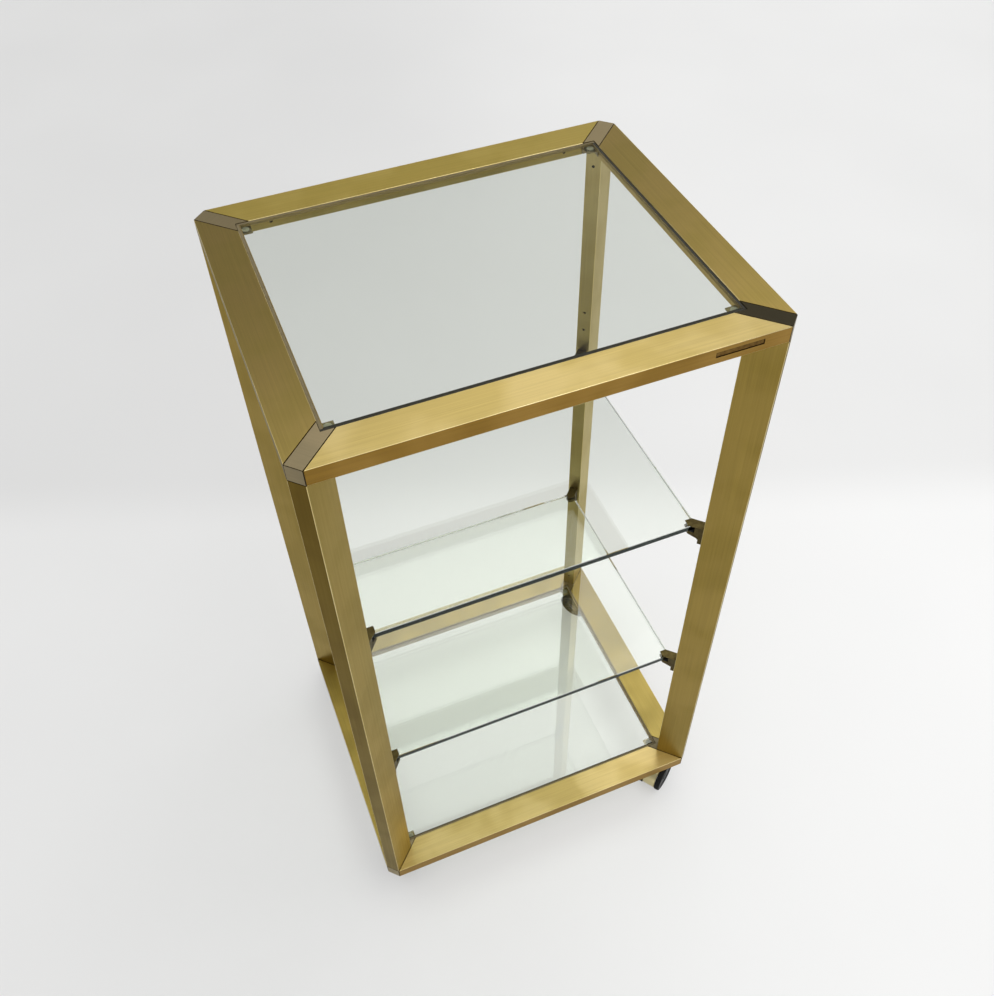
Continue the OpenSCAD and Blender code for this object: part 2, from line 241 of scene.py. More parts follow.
def prism(outline: Outline, low: float, high: float) -> Solid:
    """Solid with the same outline from low to high.

    Args:
        outline: Corners in X and Y, in order.
        low: Lowest Z.
        high: Highest Z.

    Returns:
        The solid.
    """
    solid = bmesh.new()
    feet = [solid.verts.new((x, y, low)) for x, y in outline]
    heads = [solid.verts.new((x, y, high)) for x, y in outline]
    solid.faces.new(feet)
    solid.faces.new(heads)
    for k, foot in enumerate(feet):
        after = (k + 1) % len(feet)
        solid.faces.new((foot, feet[after], heads[after], heads[k]))
    bmesh.ops.recalc_face_normals(solid, faces=solid.faces)
    return solid


def box(low: Sequence[float], high: Sequence[float]) -> Solid:
    """Box between two corners.

    Args:
        low: Lowest corner.
        high: Highest corner.

    Returns:
        The solid.
    """
    flat = [(low[0], low[1]), (high[0], low[1]), (high[0], high[1]), (low[0], high[1])]
    return prism(flat, low[2], high[2])


def turned(profile: Outline, steps: int = 64) -> Solid:
    """Solid of revolution about Z.

    Args:
        profile: Radius and height of each point, in order round the section; the first and the
            last point lie on the axis where their radius is 0.
        steps: Facets of one turn.

    Returns:
        The solid, with smooth faces.
    """
    solid = bmesh.new()
    rings: list[list[bmesh.types.BMVert]] = []
    for radius, height in profile:
        if radius < ON_AXIS:
            rings.append([solid.verts.new((0.0, 0.0, height))] * steps)
            continue
        angles = [2 * math.pi * k / steps for k in range(steps)]
        rings.append([solid.verts.new((radius * math.cos(a), radius * math.sin(a), height))
                      for a in angles])
    closed = profile[0][0] > ON_AXIS
    for k in range(len(rings) - (0 if closed else 1)):
        near, far = rings[k], rings[(k + 1) % len(rings)]
        for a in range(steps):
            b = (a + 1) % steps
            around = list(dict.fromkeys((near[a], near[b], far[b], far[a])))
            if len(around) > 2:
                solid.faces.new(around).smooth = True
    bmesh.ops.recalc_face_normals(solid, faces=solid.faces)
    return solid


def soften(solid: Solid, radius: float, steps: int = 2,
           chosen: Callable[[bmesh.types.BMEdge], bool] = lambda edge: True) -> None:
    """Rounds the sharp edges, and gives the rounding the piece's second finish.

    Args:
        solid: The solid to work on.
        radius: Size of the rounding.
        steps: Facets across it.
        chosen: Says which of the sharp edges are rounded.
    """
    sharp = [e for e in solid.edges
             if len(e.link_faces) == 2 and e.calc_face_angle() > SHARP and chosen(e)]
    made = bmesh.ops.bevel(solid, geom=sharp, offset=radius, offset_type="OFFSET", segments=steps,
                           profile=0.5, affect="EDGES", clamp_overlap=True,
                           material=int(Zone.ARRIS))
    for face in made["faces"]:
        face.smooth = True


def crease(mesh: Mesh) -> None:
    """Keeps the shading crisp over the sharp edges and leaves flat faces flat.

    Args:
        mesh: The mesh to mark.
    """
    solid = bmesh.new()
    solid.from_mesh(mesh)
    for edge in solid.edges:
        edge.smooth = len(edge.link_faces) == 2 and edge.calc_face_angle() < CREASE
    solid.to_mesh(mesh)
    solid.free()


def meshed(solid: Solid, place: Matrix | None = None) -> Mesh:
    """Mesh of a solid, which is used up.

    Args:
        solid: The solid.
        place: Where it goes.

    Returns:
        The mesh.
    """
    if place is not None:
        bmesh.ops.transform(solid, matrix=place, verts=solid.verts)
    mesh = bpy.data.meshes.new("work")
    solid.to_mesh(mesh)
    solid.free()
    return mesh


def linked(name: str, data: bpy.types.ID) -> SceneObject:
    """New object of the scene.

    Args:
        name: Its name.
        data: Its mesh, camera or lamp.

    Returns:
        The object.
    """
    made = bpy.data.objects.new(name, data)
    bpy.context.scene.collection.objects.link(made)
    return made


def worked(finishes: Sequence[Material], body: Mesh,
           added: Sequence[Mesh] = (),
           cut: Sequence[Mesh] = ()) -> Mesh:
    """Joins meshes into one solid and cuts others out of it.

    Args:
        finishes: The piece's finishes, without which its faces would lose their numbers.
        body: The solid to start with.
        added: Solids that become one with it.
        cut: Solids taken away afterwards.

    Returns:
        The new mesh.
    """
    for mesh in (body, *added, *cut):
        for finish in finishes:
            mesh.materials.append(finish)
    base = linked("bench", body)
    tools = []
    for meshes, operation in ((added, "UNION"), (cut, "DIFFERENCE")):
        for mesh in meshes:
            tool = linked("tool", mesh)
            tools.append(tool)
            step = base.modifiers.new(operation.lower(), "BOOLEAN")
            step.operation = operation
            step.solver = "EXACT"
            step.object = tool
    ready = base.evaluated_get(bpy.context.evaluated_depsgraph_get())
    result = bpy.data.meshes.new_from_object(ready)
    for used in [base, *tools]:
        bpy.data.objects.remove(used)
    return result


def lay_grain(mesh: Mesh, grain: Vector, name: str) -> None:
    """Gives a mesh the map by which brushed metal runs: U along the grain, V across, in metres.

    Args:
        mesh: The mesh, in its own frame.
        grain: The direction of the grain in that frame.
        name: The piece's name, which shifts the map, so that no two pieces show the same marks.
    """
    shift = zlib.crc32(name.encode()) % 997 / 97.0
    across = grain.orthogonal().normalized()
    layer = mesh.uv_layers.new(name=GRAIN_MAP)
    for face in mesh.polygons:
        level = face.normal.cross(grain)
        end_on = level.length < END_ON
        along, level = (across, grain.cross(across)) if end_on else (grain, level.normalized())
        for corner in face.loop_indices:
            point = mesh.vertices[mesh.loops[corner].vertex_index].co
            layer.data[corner].uv = (point.dot(along) + shift, point.dot(level) + shift)


@dataclass
class Piece:
    """A finished piece: its mesh, its finishes and what it stands for."""

    name: str
    mesh: Mesh
    finishes: Sequence[Material]
    body: str
    slot: str
    stands_for: Sequence[str]

    def set_in(self, place: Matrix | None = None) -> SceneObject:
        """Puts the piece into the scene.

        Args:
            place: Where its own frame lies on the trolley.

        Returns:
            The new object.
        """
        if place is not None:
            self.mesh.transform(place)
        self.mesh.name = self.name
        crease(self.mesh)
        for finish in self.finishes[len(self.mesh.materials):]:
            self.mesh.materials.append(finish)
        made = linked(self.name, self.mesh)
        if self.stands_for:
            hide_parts(*self.stands_for)
        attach(made, self.body)
        log.info("%s: %d faces, rides on %s", self.name, len(self.mesh.polygons), self.body)
        return made


# ---- Finishes ------------------------------------------------------------------------------------


class Wiring:
    """Adds nodes to the tree of a material or a world and joins them."""

    def __init__(self, owner: Material | bpy.types.World) -> None:
        """Starts with an empty tree.

        Args:
            owner: The material or world.
        """
        owner.use_nodes = True
        self.tree = owner.node_tree
        self.tree.nodes.clear()

    def add(self, kind: str, sockets: dict[str | int, object] | None = None,
            **settings: object) -> Node:
        """Adds a node.

        Args:
            kind: The node's type, without its common prefix.
            sockets: Input by name or number, with its value or the output that feeds it.
            settings: The node's own settings.

        Returns:
            The node.
        """
        node = self.tree.nodes.new("ShaderNode" + kind)
        for name, value in settings.items():
            setattr(node, name, value)
        for key, value in (sockets or {}).items():
            if isinstance(value, Socket):
                self.tree.links.new(value, node.inputs[key])
            else:
                node.inputs[key].default_value = value
        return node

    def place(self) -> Socket:
        """Place on the object, in metres."""
        return self.add("TexCoord").outputs["Object"]

    def grey(self, value: Socket) -> Socket:
        """A value as a grey colour."""
        return self.add("CombineColor", {0: value, 1: value, 2: value}).outputs[0]

    def noise(self, vector: Socket, scale: float, detail: float = 2.0,
              roughness: float = 0.5) -> Socket:
        """Soft random pattern.

        Args:
            vector: Where it is read.
            scale: Lumps in one unit of that.
            detail: Finer layers on top.
            roughness: How strong these are.

        Returns:
            Its value, near 0.5 on the whole.
        """
        return self.add("TexNoise", {"Vector": vector, "Scale": scale, "Detail": detail,
                                     "Roughness": roughness}).outputs["Fac"]

    def stretched(self, vector: Socket, scale: Colour) -> Socket:
        """Coordinates stretched along each axis.

        Args:
            vector: The coordinates.
            scale: Factor for X, Y and Z.

        Returns:
            The new coordinates.
        """
        return self.add("Mapping", {"Vector": vector, "Scale": scale}).outputs[0]

    def spread(self, value: Socket, low: float, high: float, to_low: float,
               to_high: float, smooth: bool = False) -> Socket:
        """Moves a value from one span to another, held at the ends.

        Args:
            value: The value.
            low: Start of its span.
            high: End of its span.
            to_low: Start of the new span.
            to_high: End of the new span.
            smooth: Whether it eases in and out.

        Returns:
            The new value.
        """
        kind = "SMOOTHSTEP" if smooth else "LINEAR"
        return self.add("MapRange", {"Value": value, "From Min": low, "From Max": high,
                                     "To Min": to_low, "To Max": to_high},
                        interpolation_type=kind).outputs["Result"]

    def blend(self, share: Socket | float, first: Colour | Socket,
              second: Colour | Socket, kind: str = "MIX") -> Socket:
        """Mixes two colours.

        Args:
            share: Share of the second one.
            first: The first colour.
            second: The second colour.
            kind: How they are mixed.

        Returns:
            The mixed colour.
        """
        def full(colour: Colour | Socket) -> object:
            """A colour with its alpha, or the output that gives it."""
            return colour if isinstance(colour, Socket) else (*colour, 1.0)

        return self.add("Mix", {0: share, 6: full(first), 7: full(second)}, data_type="RGBA",
                        blend_type=kind).outputs[2]

    def sum(self, first: Socket | float, second: Socket | float,
            kind: str = "ADD") -> Socket:
        """Works two values together.

        Args:
            first: The first value.
            second: The second value.
            kind: The sum to do.

        Returns:
            The result.
        """
        return self.add("Math", {0: first, 1: second}, operation=kind).outputs[0]

    def bump(self, height: Socket, depth: float,
             strength: float = 1.0) -> Socket:
        """Fine relief.

        Args:
            height: The height, 0 to 1.
            depth: What 1 stands for, in metres.
            strength: Share of it that shows.

        Returns:
            The normal.
        """
        return self.add("Bump", {"Height": height, "Distance": depth,
                                 "Strength": strength}).outputs[0]

    def finish(self, surface: Node, volume: Node | None = None) -> None:
        """Joins the shaders to the output.

        Args:
            surface: The surface's shader.
            volume: The shader of what is inside.
        """
        output = self.add("OutputMaterial", {"Surface": surface.outputs[0]})
        if volume is not None:
            self.tree.links.new(volume.outputs[0], output.inputs["Volume"])


@dataclass(frozen=True)
class Finish:
    """What every finish has: a name under which it is made once."""

    name: str

    def make(self) -> Material:
        """The finish as a material, made at its first use."""
        made = bpy.data.materials.get(self.name)
        if made is None:
            made = bpy.data.materials.new(self.name)
            self.wire(Wiring(made))
        return made

    def wire(self, wiring: Wiring) -> None:
        """Builds the nodes.

        Args:
            wiring: The empty tree.
        """
        raise NotImplementedError


@dataclass(frozen=True)
class BrushedMetal(Finish):
    """Metal with fine scratches along the grain map and slow clouds of a second tone."""

    tint: Colour
    cast: Colour
    roughness: float
    anisotropy: float
    lacquer: float = 0.0
    streaks: float = 0.10
    cloud: float = 0.07
    glancing: Colour = (1.0, 0.96, 0.78)

    def wire(self, wiring: Wiring) -> None:
        """Builds the nodes.

        Args:
            wiring: The empty tree.
        """
        grain = wiring.add("UVMap", uv_map=GRAIN_MAP).outputs[0]
        fine = wiring.noise(wiring.stretched(grain, FINE_GRAIN), 1.0, 3.0, 0.6)
        broad = wiring.noise(wiring.stretched(grain, BROAD_GRAIN), 1.0, 3.0, 0.6)
        marks = wiring.sum(wiring.sum(fine, broad), 0.5, "MULTIPLY")
        place = wiring.place()
        clouds = wiring.spread(wiring.noise(place, 1.0 / self.cloud, 2.0), 0.38, 0.62, 0.0, 1.0,
                               smooth=True)
        toned = wiring.blend(clouds, self.tint, self.cast)
        dull = wiring.spread(marks, 0.35, 0.65, 1.0 - self.streaks, 1.0 + self.streaks)
        colour = wiring.blend(1.0, toned, wiring.grey(dull), "MULTIPLY")
        rough = wiring.sum(wiring.spread(marks, 0.35, 0.65, 0.04, -0.04),
                           wiring.spread(clouds, 0.0, 1.0, self.roughness - 0.02,
                                         self.roughness + 0.02))
        metal = wiring.add("BsdfPrincipled", {
            "Base Color": colour, "Metallic": 1.0, "Roughness": rough,
            "Anisotropic": self.anisotropy, "Anisotropic Rotation": 0.25,
            "Coat Weight": self.lacquer, "Coat Roughness": 0.3,
            "Specular Tint": (*self.glancing, 1.0),
            "Tangent": wiring.add("Tangent", direction_type="UV_MAP",
                                  uv_map=GRAIN_MAP).outputs[0],
            "Normal": wiring.bump(marks, 0.02 * MM)})
        wiring.finish(metal)


@dataclass(frozen=True)
class SatinMetal(Finish):
    """Metal without a grain, with fine pits and dull patches."""

    tint: Colour
    cast: Colour
    roughness: float
    lump: float = 0.004

    def wire(self, wiring: Wiring) -> None:
        """Builds the nodes.

        Args:
            wiring: The empty tree.
        """
        place = wiring.place()
        patches = wiring.noise(place, 1.0 / self.lump, 3.0, 0.6)
        pits = wiring.noise(place, 5.0 / self.lump, 2.0)
        metal = wiring.add("BsdfPrincipled", {
            "Base Color": wiring.blend(wiring.spread(patches, 0.35, 0.65, 0.0, 1.0), self.tint,
                                       self.cast),
            "Metallic": 1.0,
            "Roughness": wiring.spread(patches, 0.3, 0.7, self.roughness - 0.06,
                                       self.roughness + 0.08),
            "Normal": wiring.bump(pits, 0.03 * MM)})
        wiring.finish(metal)


@dataclass(frozen=True)
class MouldedPlastic(Finish):
    """Plastic or rubber with a fine moulded skin, dusty in patches."""

    tint: Colour
    dust: Colour
    roughness: float
    skin: float = 0.0006
    gloss: float = 0.5

    def wire(self, wiring: Wiring) -> None:
        """Builds the nodes.

        Args:
            wiring: The empty tree.
        """
        place = wiring.place()
        dusty = wiring.spread(wiring.noise(place, 90.0, 4.0, 0.65), 0.48, 0.72, 0.0, 0.6)
        skin = wiring.noise(place, 1.0 / self.skin, 2.0)
        plastic = wiring.add("BsdfPrincipled", {
            "Base Color": wiring.blend(dusty, self.tint, self.dust),
            "Roughness": wiring.spread(dusty, 0.0, 0.6, self.roughness, self.roughness + 0.25),
            "Specular IOR Level": self.gloss,
            "Normal": wiring.bump(skin, 0.02 * MM)})
        wiring.finish(plastic)


@dataclass(frozen=True)
class FloatGlass(Finish):
    """Clear float glass: its thickness tints what is seen through it, and lamps shine through."""

    face: Colour
    edge_gleam: Colour
    tint: Colour
    density: float

    def wire(self, wiring: Wiring) -> None:
        """Builds the nodes.

        Args:
            wiring: The empty tree.
        """
        place = wiring.place()
        upward = wiring.add("SeparateXYZ",
                            {0: wiring.add("TexCoord").outputs["Normal"]}).outputs["Z"]
        edge = wiring.spread(wiring.sum(upward, 0.0, "ABSOLUTE"), 0.75, 0.9, 1.0, 0.0)
        wiped = wiring.noise(wiring.stretched(place, (3.0, 9.0, 3.0)), 2.5, 4.0, 0.6)
        smears = wiring.spread(wiped, 0.5, 0.75, 0.0, 0.012)
        glass = wiring.add("BsdfPrincipled", {
            "Base Color": (*self.face, 1.0), "Roughness": smears, "IOR": 1.5,
            "Specular Tint": wiring.blend(edge, (1.0, 1.0, 1.0), self.edge_gleam),
            "Transmission Weight": 1.0})
        clear = wiring.add("BsdfTransparent", {"Color": (0.99, 0.995, 0.99, 1.0)})
        path = wiring.add("LightPath").outputs
        lets_through = wiring.sum(path["Is Shadow Ray"], path["Is Diffuse Ray"], "MAXIMUM")
        surface = wiring.add("MixShader", {0: lets_through, 1: glass.outputs[0],
                                           2: clear.outputs[0]})
        inside = wiring.add("VolumeAbsorption", {"Color": (*self.tint, 1.0),
                                                 "Density": self.density})
        wiring.finish(surface, inside)


BRASS = BrushedMetal("brushed_brass", shade(183, 157, 85), shade(173, 150, 76), 0.42, 0.75, 0.4)
# Copy of the rail brass with painted light: lighter and paler, for the front rails of both frames.
LIT_FRONT_BRASS = BrushedMetal("bright_front_brass", shade(191, 170, 111), shade(178, 157, 93), 0.42,
                            0.75, 0.4)
# Copy of the rail brass with painted shade: much darker, for the left rail of the lower frame.
SHADED_LOWER_LEFT_BRASS = BrushedMetal("olive_brass", shade(134, 117, 54), shade(124, 108, 47), 0.42, 0.75,
                           0.2)
SHADED_BRASS = BrushedMetal("shaded_brass", shade(157, 138, 70), shade(146, 128, 61), 0.42, 0.75,
                            0.3)
# Lighter, smoother brass on the rounded arrises of rails and posts: a painted highlight.
BRASS_ARRIS = BrushedMetal("rubbed_brass_arris", shade(222, 206, 154), shade(212, 192, 132), 0.30,
                           0.4, 0.4)
# Darker, browner brass on the outer face of the front, back and right rails: painted shade.
EDGE_BRASS = BrushedMetal("browned_brass_edge", shade(152, 118, 51), shade(140, 107, 38), 0.38, 0.8,
                          0.2)
SOILED_BRASS = SatinMetal("soiled_brass", shade(64, 45, 18), shade(50, 35, 14), 0.5)
RECESS_FLOOR = SatinMetal("browned_recess_floor", shade(118, 90, 40), shade(96, 70, 28), 0.45)
# Darker copy of the brass for three of the posts: painted shade.
POST_BRASS = BrushedMetal("brushed_post_brass", shade(152, 129, 62), shade(145, 123, 54), 0.38, 0.8,
                          0.2)
# Darker still, on the narrow outer face of those posts and the outer face of the left rails: painted
# shade.
POST_EDGE = BrushedMetal("browned_post_edge", shade(106, 85, 24), shade(98, 77, 20), 0.40, 0.8)
# Lighter, paler copy for the rear right post: painted light.
LIT_POST = BrushedMetal("pale_post_brass", shade(190, 171, 114), shade(182, 162, 102), 0.38, 0.8,
                         0.2)
# Narrow outer face of the rear right post: painted shade against that post, painted light against
# the other post edges.
LIT_POST_EDGE = BrushedMetal("pale_post_edge", shade(132, 112, 44), shade(122, 102, 38), 0.40,
                              0.8)
ZINC = BrushedMetal("satin_zinc", shade(146, 131, 99), shade(136, 123, 93), 0.38, 0.8, 0.3,
                    streaks=0.05)
# Darker copy of the zinc for the front right fittings: painted shade.
SHADED_ZINC = BrushedMetal("darkened_zinc", shade(86, 78, 57), shade(75, 68, 50), 0.38, 0.8, 0.2,
                         streaks=0.05)
JOINT_ARRIS = SatinMetal("soiled_joint_arris", shade(52, 44, 26), shade(38, 32, 18), 0.55)
TAB_BRASS = SatinMetal("satin_tab_brass", shade(150, 138, 100), shade(126, 115, 80), 0.40)
BRONZE = SatinMetal("satin_bronze", shade(84, 74, 44), shade(70, 60, 34), 0.40)
# Lighter bronze on the clips' rounded arrises: a painted highlight.
BRONZE_ARRIS = SatinMetal("rubbed_bronze_arris", shade(116, 103, 66), shade(100, 88, 54), 0.34)
CASTER_BRASS = SatinMetal("caster_brass", shade(158, 138, 78), shade(128, 110, 58), 0.20)
# Lighter brass on the hoods' rounded arrises: a painted highlight.
CASTER_ARRIS = SatinMetal("rubbed_caster_arris", shade(190, 172, 112), shade(170, 150, 92), 0.24)
STEEL = SatinMetal("plated_steel", shade(176, 176, 172), shade(150, 150, 146), 0.30, lump=0.002)
BLACK_STEEL = SatinMetal("blackened_steel", shade(34, 32, 29), shade(24, 23, 21), 0.55, lump=0.002)
RUBBER = MouldedPlastic("black_rubber", shade(30, 30, 30), shade(54, 52, 49), 0.72)
WHEEL_BLACK = MouldedPlastic("wheel_black", shade(20, 20, 21), shade(46, 45, 42), 0.42,
                             gloss=0.2)
TREAD_BLACK = MouldedPlastic("tread_black", shade(24, 24, 24), shade(52, 50, 47), 0.68,
                             gloss=0.15)
BUMPER = MouldedPlastic("milky_bumper", shade(164, 162, 138), shade(140, 136, 112), 0.35)
# Brown on the back and side edges of the framed panes: a painted reflection of the brass round them.
BRASS_REFLECTING_EDGE = MouldedPlastic("ground_glass_edge", shade(150, 128, 72), shade(136, 117, 68), 0.6,
                             0.0009)
# Near black on the front edge of the framed panes: painted shade in the gap.
SHADED_GLASS_EDGE = MouldedPlastic("dark_glass_edge", shade(36, 38, 24), shade(48, 50, 34), 0.5, 0.0009)
# Near black for the top pane's front and right strips: painted shade in the gap.
SHADED_SEAL = MouldedPlastic("dark_seal", shade(34, 31, 18), shade(46, 42, 28), 0.7)
BROWN_SEAL = MouldedPlastic("brown_seal", shade(110, 98, 68), shade(98, 88, 60), 0.7)
FLOAT_GLASS = FloatGlass("float_glass", (0.995, 1.0, 0.995), (0.30, 0.50, 0.40),
                         (0.84, 0.87, 0.82), 100.0)


# ---- Sub-assemblies ------------------------------------------------------------------------------


@dataclass
class HollowBar:
    """Hollow bar along X: its outer face lies at y = 0 and its underside at z = 0."""

    length: float
    width: float
    thickness: float
    mitred: bool
    wall: float = 1.5 * MM
    arris: float = 0.45 * MM

    def end(self, side: int, y: float) -> float:
        """X of an end at a distance y from the outer face."""
        return side * (self.length / 2 - (y if self.mitred else 0.0))

    def solid(self) -> Solid:
        """The bar with rounded arrises.

        Returns:
            The solid.
        """
        bar = bmesh.new()
        ends = []
        for side in (-1, 1):
            ring = []
            for inset in (0.0, self.wall):
                near, far = inset, self.width - inset
                low, high = inset, self.thickness - inset
                ring += [bar.verts.new((self.end(side, y), y, z))
                         for y, z in ((near, low), (far, low), (far, high), (near, high))]
            ends.append(ring)
        outer = set(ends[0][:4] + ends[1][:4])
        for k in range(4):
            after = (k + 1) % 4
            for first in (0, 4):
                bar.faces.new((ends[0][first + k], ends[0][first + after],
                               ends[1][first + after], ends[1][first + k]))
            for ring in ends:
                bar.faces.new((ring[k], ring[after], ring[4 + after], ring[4 + k]))
        bmesh.ops.recalc_face_normals(bar, faces=bar.faces)
        soften(bar, self.arris, 2, lambda edge: set(edge.verts) <= outer)
        # The outer face takes the piece's third finish, which is painted shade.
        for face in bar.faces:
            if face.normal.y < -SQUARE_ON and face.calc_center_median().y < self.wall / 2:
                face.material_index = Zone.OUTER
            elif face.material_index == Zone.ARRIS and abs(face.normal.x) > LEANING:
                face.material_index = Zone.SOILED
        return bar

    def hole(self, x: float, z: float, radius: float) -> Mesh:
        """Cutter for a round hole in the inner face.

        Args:
            x: Place along the bar.
            z: Height in the bar.
            radius: Radius of the hole.

        Returns:
            The cutter.
        """
        reach = self.wall + MM
        drill = turned([(0.0, -reach), (radius, -reach), (radius, reach), (0.0, reach)], 32)
        for face in drill.faces:
            face.material_index = Zone.SOILED
        place = Matrix.Translation((x, self.width, z)) @ Matrix.Rotation(-math.pi / 2, 4, "X")
        return meshed(drill, place)


@dataclass
class MitredFrame:
    """One of the two frames: four mitred rails and four corner fittings."""

    level: str
    z: float
    sizes: Framework
    joint_gap: float
    spigot_up: bool
    screw_x: float = 36 * MM
    screw_drop: float = 10.5 * MM
    screw_bore: float = 1.9 * MM
    recess: tuple[float, float, float] = (50 * MM, 6 * MM, 0.6 * MM)
    recess_x: float = 174 * MM
    recess_drop: float = 8 * MM
    recess_rim: float = 1.3 * MM
    plug_wall: float = 1.6 * MM
    tongue_l: float = 45 * MM
    spigot_l: float = 35 * MM
    sleeve_bore: float = 5.55 * MM
    sleeve_inset: float = 31 * MM
    sleeve_deep: float = 31 * MM
    fitting_arris: float = 0.45 * MM

    def recess_cutter(self) -> Mesh:
        """Cutter for the bare recess in the outer face of the upper front rail.

        Returns:
            The cutter, in the rail's own frame.
        """
        length, height, deep = self.recess
        middle = self.sizes.rail_t - self.recess_drop
        block = box((self.recess_x - length / 2, -MM, middle - height / 2),
                    (self.recess_x + length / 2, deep, middle + height / 2))
        floor = [face for face in block.faces if face.normal.y > SQUARE_ON]
        bmesh.ops.inset_region(block, faces=floor, thickness=self.recess_rim)
        for face in block.faces:
            face.material_index = Zone.FLOOR if face in floor else Zone.SOILED
        return meshed(block)

    def brass(self, side: Side) -> BrushedMetal:
        """Finish of a rail: painted light in front, painted shade at the lower left, behind and
        below.
        """
        if side is Side.FRONT:
            return LIT_FRONT_BRASS
        if self.level == "lower" and side is Side.LEFT:
            return SHADED_LOWER_LEFT_BRASS
        return SHADED_BRASS if self.level == "lower" or side is Side.BACK else BRASS

    def rail(self, side: Side) -> SceneObject:
        """Builds one rail.

        Args:
            side: The side it lies on.

        Returns:
            The rail.
        """
        lengthwise = side in (Side.FRONT, Side.BACK)
        span = self.sizes.width if lengthwise else self.sizes.depth
        reach = self.sizes.depth if lengthwise else self.sizes.width
        bar = HollowBar(span - 2 * self.sizes.chamfer - 2 * self.joint_gap * ROOT2,
                        self.sizes.rail_w, self.sizes.rail_t, mitred=True)
        screw_x = span / 2 - self.sizes.rail_w - self.screw_x
        cutters = [bar.hole(s * screw_x, self.sizes.rail_t - self.screw_drop, self.screw_bore)
                   for s in (-1, 1)]
        if self.level == "upper" and side is Side.FRONT:
            cutters.append(self.recess_cutter())
        # The outer face takes painted shade, darker still on the left rails.
        outer = POST_EDGE if side is Side.LEFT else EDGE_BRASS
        finishes = (self.brass(side).make(), BRASS_ARRIS.make(), outer.make(),
                    SOILED_BRASS.make(), RECESS_FLOOR.make())
        mesh = worked(finishes, meshed(bar.solid()), cut=cutters)
        node = f"{self.level}_{side.label}_rail"
        lay_grain(mesh, Vector((1.0, 0.0, 0.0)), node)
        place = (Matrix.Translation((0.0, 0.0, self.z)) @ side.turn
                 @ Matrix.Translation((0.0, -reach / 2, 0.0)))
        return Piece(f"brushed_{node}", mesh, finishes, "frame", "brass", [node]).set_in(place)

    def tongue(self, hand: int) -> Mesh:
        """The tongue that a fitting pushes into one of its rails.

        Args:
            hand: 1 or -1, for the rail on that side of the diagonal.

        Returns:
            The tongue, in the fitting's frame.
        """
        deep = self.sizes.rail_w - self.plug_wall
        mitre = self.sizes.chamfer - MM
        tip = self.sizes.chamfer + self.sizes.rail_w + self.tongue_l
        flat = [(mitre + self.plug_wall, self.plug_wall), (mitre + deep, deep), (tip, deep),
                (tip, self.plug_wall)]
        tongue = prism(flat, self.plug_wall, self.sizes.rail_t - self.plug_wall)
        half = self.sizes.chamfer / 2
        from_corner = (Matrix.Rotation(-math.pi / 4, 4, "Z")
                       @ Matrix.Translation((-half, -half, 0.0)))
        mesh = meshed(tongue, Matrix.Diagonal((1.0, hand, 1.0, 1.0)) @ from_corner)
        if hand < 0:
            mesh.flip_normals()
        return mesh

    def fitting(self, corner: Corner) -> SceneObject:
        """Builds one corner fitting.

        Args:
            corner: The corner it holds.

        Returns:
            The fitting.
        """
        half = self.sizes.chamfer / ROOT2
        long = self.sizes.rail_w * ROOT2
        strip = prism([(0.0, -half), (long, -half), (long - half, 0.0), (long, half), (0.0, half)],
                      0.0, self.sizes.rail_t)
        soften(strip, self.fitting_arris, 2)
        post_half = self.sizes.post_t / 2 - self.plug_wall
        low, high = ((self.sizes.rail_t - MM, self.sizes.rail_t + self.spigot_l)
                     if self.spigot_up else (-self.spigot_l, MM))
        spigot = box((self.plug_wall, -post_half, low),
                     (self.sizes.post_l - self.plug_wall, post_half, high))
        cutters = []
        if self.spigot_up:
            bore = turned([(0.0, -MM), (self.sleeve_bore, -MM),
                           (self.sleeve_bore, self.sleeve_deep), (0.0, self.sleeve_deep)], 48)
            cutters.append(meshed(bore, Matrix.Translation((self.sleeve_inset, 0.0, 0.0))))
        # The front right fittings take painted shade.
        zinc = SHADED_ZINC if corner is Corner.FRONT_RIGHT else ZINC
        finishes = (zinc.make(), JOINT_ARRIS.make())
        mesh = worked(finishes, meshed(strip), (self.tongue(1), self.tongue(-1), meshed(spigot)),
                      cutters)
        node = f"{self.level}_{corner.label}_fitting"
        lay_grain(mesh, Vector((0.0, 1.0, 0.0)), node)
        place = corner.diagonal(self.sizes.corner_x, self.sizes.corner_y, self.z)
        return Piece(f"satin_{node}", mesh, finishes, "frame", "zinc", [node]).set_in(place)

    def build(self) -> None:
        """Builds the four rails and the four fittings."""
        for side in Side:
            self.rail(side)
        for corner in Corner:
            self.fitting(corner)


